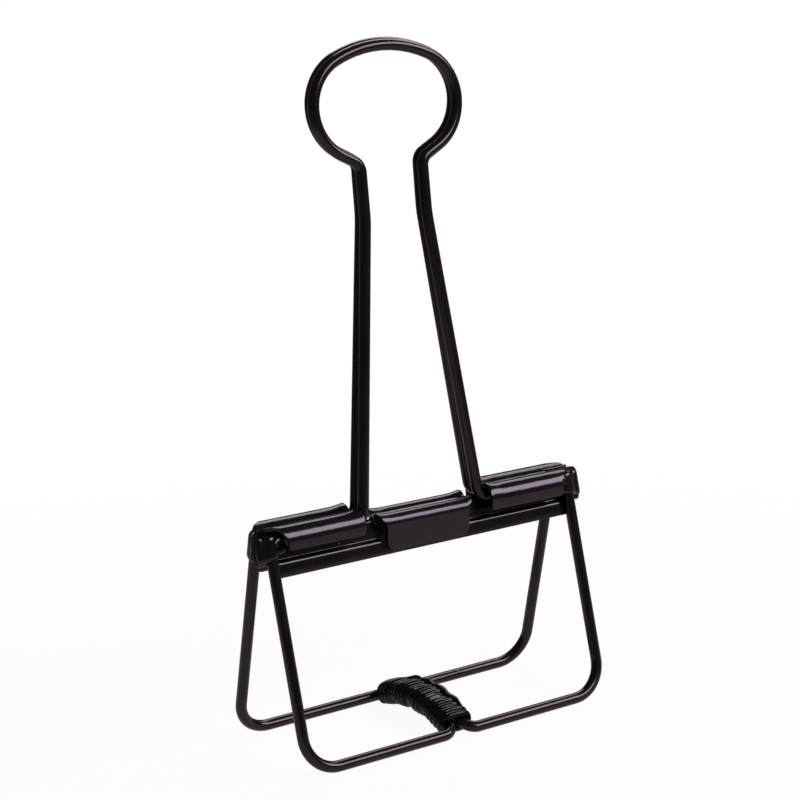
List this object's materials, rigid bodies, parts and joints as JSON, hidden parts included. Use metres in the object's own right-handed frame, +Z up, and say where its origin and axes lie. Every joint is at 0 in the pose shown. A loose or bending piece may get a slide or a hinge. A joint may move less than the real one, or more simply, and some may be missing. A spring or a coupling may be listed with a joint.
{
  "type": "wire frame clip",
  "caption": "Spring clip with two rolled sheet jaws on a bent wire frame and two folding keyhole wire handles, for holding papers together.",
  "frame": {"origin": "centre of the footprint, on the surface that the two base bars stand on", "axes": "+Z up towards the handles, X along the jaws, -Y the front jaw's side"},
  "size_m": [0.051, 0.0194, 0.0903],
  "materials": {
    "enamelled_wire": "glossy black enamel on spring steel wire",
    "enamelled_sheet": "glossy black enamel on rolled steel sheet",
    "enamelled_binding": "glossy black enamel pooled between turns of binding wire"
  },
  "bodies": {
    "spine": {"frame_base_left": "enamelled_wire", "frame_base_right": "enamelled_wire", "binding_wire": "enamelled_binding"},
    "front_side": {"leg_front_left": "enamelled_wire", "leg_front_right": "enamelled_wire", "jaw_front": "enamelled_sheet"},
    "rear_side": {"leg_rear_left": "enamelled_wire", "leg_rear_right": "enamelled_wire", "jaw_rear": "enamelled_sheet"},
    "front_handle": {"handle_front": "enamelled_wire"},
    "rear_handle": {"handle_rear": "enamelled_wire"}
  },
  "joints": [
    {"name": "front_side_opens", "type": "hinge", "parent": "spine", "child": "front_side", "pos_m": [0, -0.0089, 0.00075], "axis": [1, 0, 0], "range_deg": [0, 12], "stiffness_Nm_per_rad": 2.2, "springref_deg": -7.45},
    {"name": "rear_side_opens", "type": "hinge", "parent": "spine", "child": "rear_side", "pos_m": [0, 0.0089, 0.00075], "axis": [-1, 0, 0], "range_deg": [0, 12], "stiffness_Nm_per_rad": 2.2, "springref_deg": -7.45},
    {"name": "front_handle_swings", "type": "hinge", "parent": "front_side", "child": "front_handle", "pos_m": [0, -0.0015, 0.0296], "axis": [1, 0, 0], "range_deg": [0, 165]},
    {"name": "rear_handle_swings", "type": "hinge", "parent": "rear_side", "child": "rear_handle", "pos_m": [0, 0.0015, 0.0296], "axis": [-1, 0, 0], "range_deg": [0, 155]}
  ],
  "couplings": [
    {"joint": "rear_side_opens", "follows": "front_side_opens", "ratio": 1}
  ]
}
